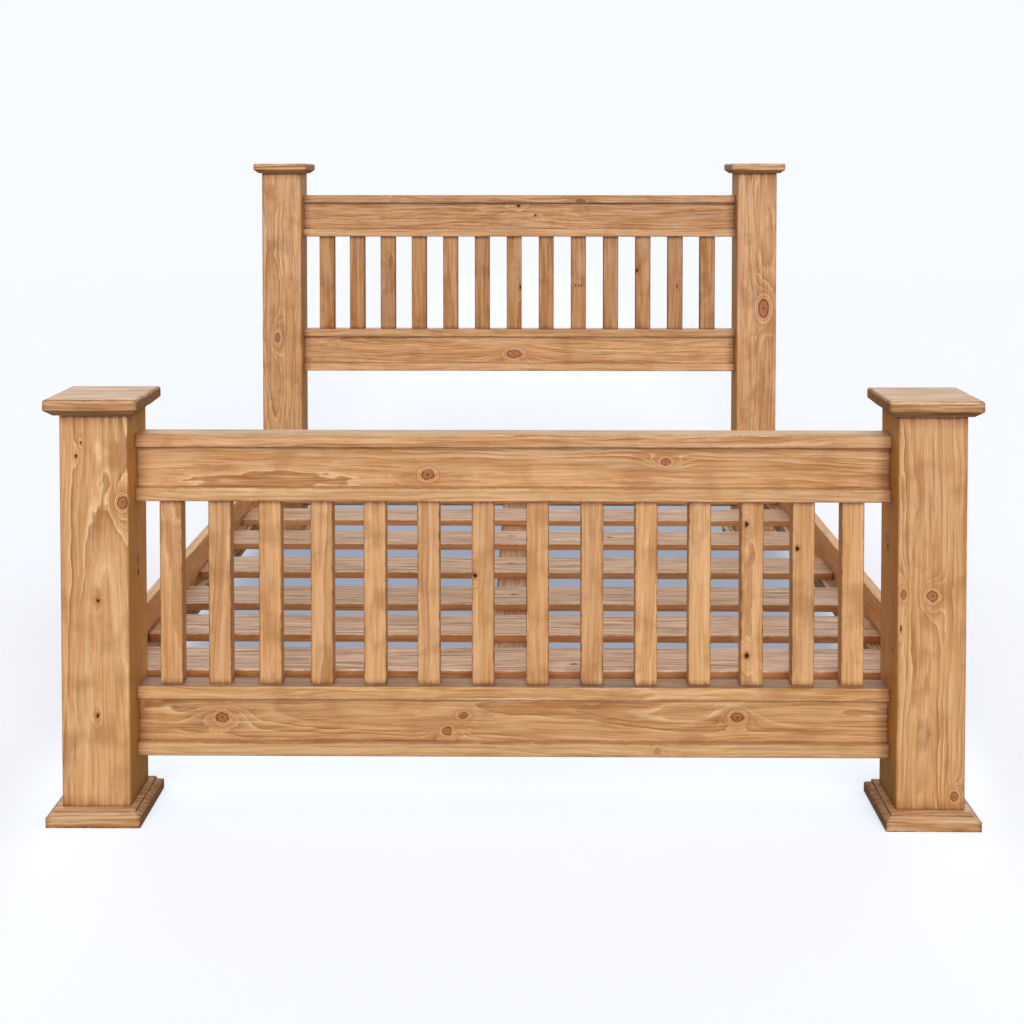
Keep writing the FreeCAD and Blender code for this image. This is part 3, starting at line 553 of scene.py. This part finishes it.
def lines_of(name, low, high):
    """The level lines on a piece's faces: height, width, share and colour."""
    # Dark lines: wax and dirt with painted shade at joints and grooves. Bright lines: painted highlights.
    if name in FRAMED:
        bead = low.z + BEAD_HEIGHT
        return [(high.z, 0.0018, 1.0, "grime_and_shade"), (low.z + 0.013, 0.010, 0.35, "bright"),
                (bead, 0.0011, 0.75, "grime_and_shade"), (bead - 0.004, 0.0012, 0.6, "bright")]
    if name.endswith("capping"):
        return [(low.z, 0.0018, 1.0, "grime_and_shade")]
    if "post" in name:
        return [(low.z + 0.002, 0.003, 0.85, "grime_and_shade"), (high.z - 0.003, 0.004, 0.95, "grime_and_shade")]
    if "spindle" in name:
        return [(low.z + 0.001, 0.0018, 0.75, "grime_and_shade"), (high.z - 0.001, 0.0025, 0.95, "grime_and_shade")]
    if "plinth" in name:
        return [(PLINTH_LIP_UNDER, 0.0015, 0.7, "grime_and_shade")]
    if name == "slats":
        return [(high.z, 0.0022, 0.85, "bright")]
    return []


def knots_of(name, low, high, rng):
    """Knots that the photograph shows, and some on the faces that it doesn't show, or shows only small."""
    found = []
    for x, z, radius, stretch in SEEN_KNOTS.get(name, ()):
        behind = RAIL_RECESS if name in FRAMED and z > low.z + BEAD_HEIGHT else 0.0
        found.append(((x, low.y + behind, z), "y", radius, stretch, SEEN_DEPTH * radius))
    if "post" in name or name.startswith("side_rail"):
        for _ in range(SIDE_KNOTS):
            place = (0.0, rng.uniform(low.y + SIDE_MARGIN, high.y - SIDE_MARGIN),
                     rng.uniform(low.z + END_MARGIN, high.z - END_MARGIN))
            found.append((place, "x", rng.uniform(*SIDE_RADII), SIDE_STRETCH, ALL_THROUGH))
    if name == "slats":
        more = [(rng.uniform(low.x + SLAT_MARGIN, high.x - SLAT_MARGIN), rng.uniform(low.y, high.y))
                for _ in range(MORE_SLAT_KNOTS)]
        for x, y in (*SLAT_KNOTS, *more):
            found.append(((x, y, high.z), "z", SLAT_RADIUS, SLAT_STRETCH, SLAT_DEPTH))
    return found


def pine_of(name, order):
    """The pine of a piece, whose place in the order of names sets its random draws."""
    rng = random.Random(order)
    low, high = shown_box(name)
    look = next(look for part, look in LOOKS if part in name)
    light, warmth = next(tone for start, tone in TONES if name.startswith(start))
    light *= rng.uniform(*TONE_CHANCE)
    knots = knots_of(name, low, high, rng)
    large = [knot for knot in knots if knot[2] >= PIN_RADIUS]
    pins = [knot for knot in knots if knot[2] < PIN_RADIUS]
    return pine("pine_" + name, (low, high), grain_of(name), order + GRAIN_SEED, look, (light, warmth),
                large, pins, lines_of(name, low, high))


def zinc(name):
    """Zinc plating with a faint spangle."""
    material, shader = new_material(name)
    tree = Tree(material.node_tree)
    spangle = tree.noise(tree.node("TexCoord").outputs["Object"], 220.0, 3.0)
    colour = tree.blend(tree.spread(spangle, 0.35, 0.65), shade(150, 153, 156), shade(196, 198, 198))
    tree.put(shader.inputs["Base Color"], colour)
    tree.put(shader.inputs["Roughness"], tree.spread(spangle, 0.3, 0.7, 0.3, 0.48))
    shader.inputs["Metallic"].default_value = 1.0
    return material


for order, name in enumerate(sorted(NODES)):
    slots = NODES[name].data.materials
    slots.clear()
    slots.append(zinc("zinc_" + name) if name in STEEL else pine_of(name, order))


# ---------------------------------------------------------------- stage

STUDIO_RADIUS = 14.0
# The floor's colours in the open and in the painted shadow under the bed: what it reflects, and how it glows.
OPEN_FLOOR, OPEN_GLOW = (0.80, 0.83, 0.88, 1.0), (0.22, 0.25, 0.31)
UNDER_SHADOW_FLOOR, UNDER_SHADOW_GLOW = (0.15, 0.165, 0.20, 1.0), (0.27, 0.32, 0.41, 1.0)
# More glow where the bed keeps light off the floor, from well in front of the bed to just under it (Y). It
# ends either side of the bed (X) and towards its back (Y).
LIFT_FROM, LIFT_TO = -2.5, -0.75
LIFT_SIDES, LIFT_BACK = (0.78, 1.09), (-0.5, 0.5)
# Where the painted shadow under the bed begins and ends: at the front and back (Y) and either side (X).
UNDER_FRONT, UNDER_BACK, UNDER_SIDES = (-0.78, -0.3), (1.8, 2.6), (0.82, 1.0)
LIFT_COLOUR = (0.96, 1.1, 1.13)
LIFT = ((0.0, 0.04), (0.45, 0.08), (0.56, 0.10), (0.67, 0.146), (0.76, 0.20), (0.84, 0.31), (0.89, 0.36),
        (0.95, 0.43), (1.0, 0.45))


def stage_piece(name):
    """Gives the new object a matt material of its own, and only the camera sees it."""
    material, shader = new_material(name)
    shader.inputs["Roughness"].default_value = 0.9
    shader.inputs["Specular IOR Level"].default_value = 0.0
    shader.inputs["Emission Strength"].default_value = 1.0
    piece = bpy.context.object
    piece.name = name
    piece.data.materials.append(material)
    piece.visible_diffuse = False
    piece.visible_glossy = False
    return piece, shader


def lay_floor():
    """A floor that stays white where the bed shades it from the front, and has a painted shadow under the
    bed.
    """
    bpy.ops.mesh.primitive_circle_add(vertices=96, radius=STUDIO_RADIUS, fill_type="NGON")
    floor, shader = stage_piece("floor")
    tree = Tree(floor.active_material.node_tree)
    spot = tree.parts(tree.node("TexCoord").outputs["Object"])
    aside = tree.math("ABSOLUTE", spot[0])
    near = tree.node("MapRange", {"Value": spot[1], "From Min": LIFT_FROM, "From Max": LIFT_TO}).outputs[0]
    lift = tree.product(tree.stops(near, LIFT), tree.spread(aside, *LIFT_SIDES, 1.0, 0.0),
                        tree.spread(spot[1], *LIFT_BACK, 1.0, 0.08))
    # A painted shadow under the bed.
    under = tree.product(tree.spread(spot[1], *UNDER_FRONT), tree.spread(spot[1], *UNDER_BACK, 1.0, 0.0),
                         tree.spread(aside, *UNDER_SIDES, 1.0, 0.0))
    glow = tree.vector("ADD", OPEN_GLOW, tree.vector("MULTIPLY", lift, LIFT_COLOUR))
    tree.put(shader.inputs["Base Color"], tree.blend(under, OPEN_FLOOR, UNDER_SHADOW_FLOOR))
    tree.put(shader.inputs["Emission Color"], tree.blend(under, glow, UNDER_SHADOW_GLOW))


def hang_backdrop():
    """A pale sphere round it all that lets light through."""
    bpy.ops.mesh.primitive_uv_sphere_add(segments=96, ring_count=48, radius=STUDIO_RADIUS)
    backdrop, shader = stage_piece("backdrop")
    backdrop.visible_shadow = False
    shader.inputs["Base Color"].default_value = (0.0, 0.0, 0.0, 1.0)
    shader.inputs["Emission Color"].default_value = (0.94, 0.965, 1.0, 1.0)


# ---------------------------------------------------------------- light and camera

def light_room():
    """Dim light all round, and a wide bright screen low behind the headboard: it gives the tops a sheen."""
    world = bpy.data.worlds.new("studio")
    world.use_nodes = True
    background = world.node_tree.nodes["Background"]
    tree = Tree(world.node_tree)
    aim = tree.parts(tree.node("TexCoord").outputs["Generated"])
    screen = tree.product(tree.spread(aim[1], 0.3, 0.75), tree.spread(aim[2], -0.02, 0.1),
                          tree.spread(aim[2], 0.5, 0.85, 1.0, 0.0))
    dim, bright = (1.0, 0.86, 0.62, 1.0), (1.0, 0.97, 0.94, 1.0)
    tree.put(background.inputs["Color"], tree.blend(screen, dim, bright))
    tree.put(background.inputs["Strength"], tree.total(tree.product(screen, 1.3), 0.22))
    bpy.context.scene.world = world


def softbox(name, power, spread, elevation, azimuth):
    """Soft parallel light from an elevation, with azimuth 0 from the foot end and 90 from the right."""
    lamp = bpy.data.lights.new(name, "SUN")
    lamp.energy = power
    lamp.angle = math.radians(spread)
    light = bpy.data.objects.new(name, lamp)
    light.rotation_euler = (math.radians(90 - elevation), 0.0, math.radians(azimuth))
    bpy.context.scene.collection.objects.link(light)


# The camera as fitted to the photograph: pixels of its frame, a place, and turns in radians.
FOCAL_PIXELS = 1434.0
IMAGE_PIXELS = 1024.0
AXIS_PIXEL_X, AXIS_PIXEL_Y = 513.07, 215.43
CAMERA_PLACE = (0.0295, -3.8974, 1.2720)
CAMERA_DIP, CAMERA_TURN = 0.0304, 0.0101
SENSOR_WIDTH = 36.0


def place_camera():
    data = bpy.data.cameras.new("camera")
    data.sensor_width = SENSOR_WIDTH
    data.lens = FOCAL_PIXELS / IMAGE_PIXELS * SENSOR_WIDTH
    data.shift_x = (IMAGE_PIXELS / 2 - AXIS_PIXEL_X) / IMAGE_PIXELS
    data.shift_y = (AXIS_PIXEL_Y - IMAGE_PIXELS / 2) / IMAGE_PIXELS
    camera = bpy.data.objects.new("camera", data)
    camera.location = CAMERA_PLACE
    camera.rotation_euler = (math.radians(90) - CAMERA_DIP, 0.0, CAMERA_TURN)
    bpy.context.scene.collection.objects.link(camera)
    bpy.context.scene.camera = camera


lay_floor()
hang_backdrop()
light_room()
softbox("key", power=2.6, spread=50, elevation=20, azimuth=4)
softbox("ceiling", power=0.7, spread=70, elevation=100, azimuth=0)
place_camera()
bpy.context.scene.view_settings.view_transform = "Standard"
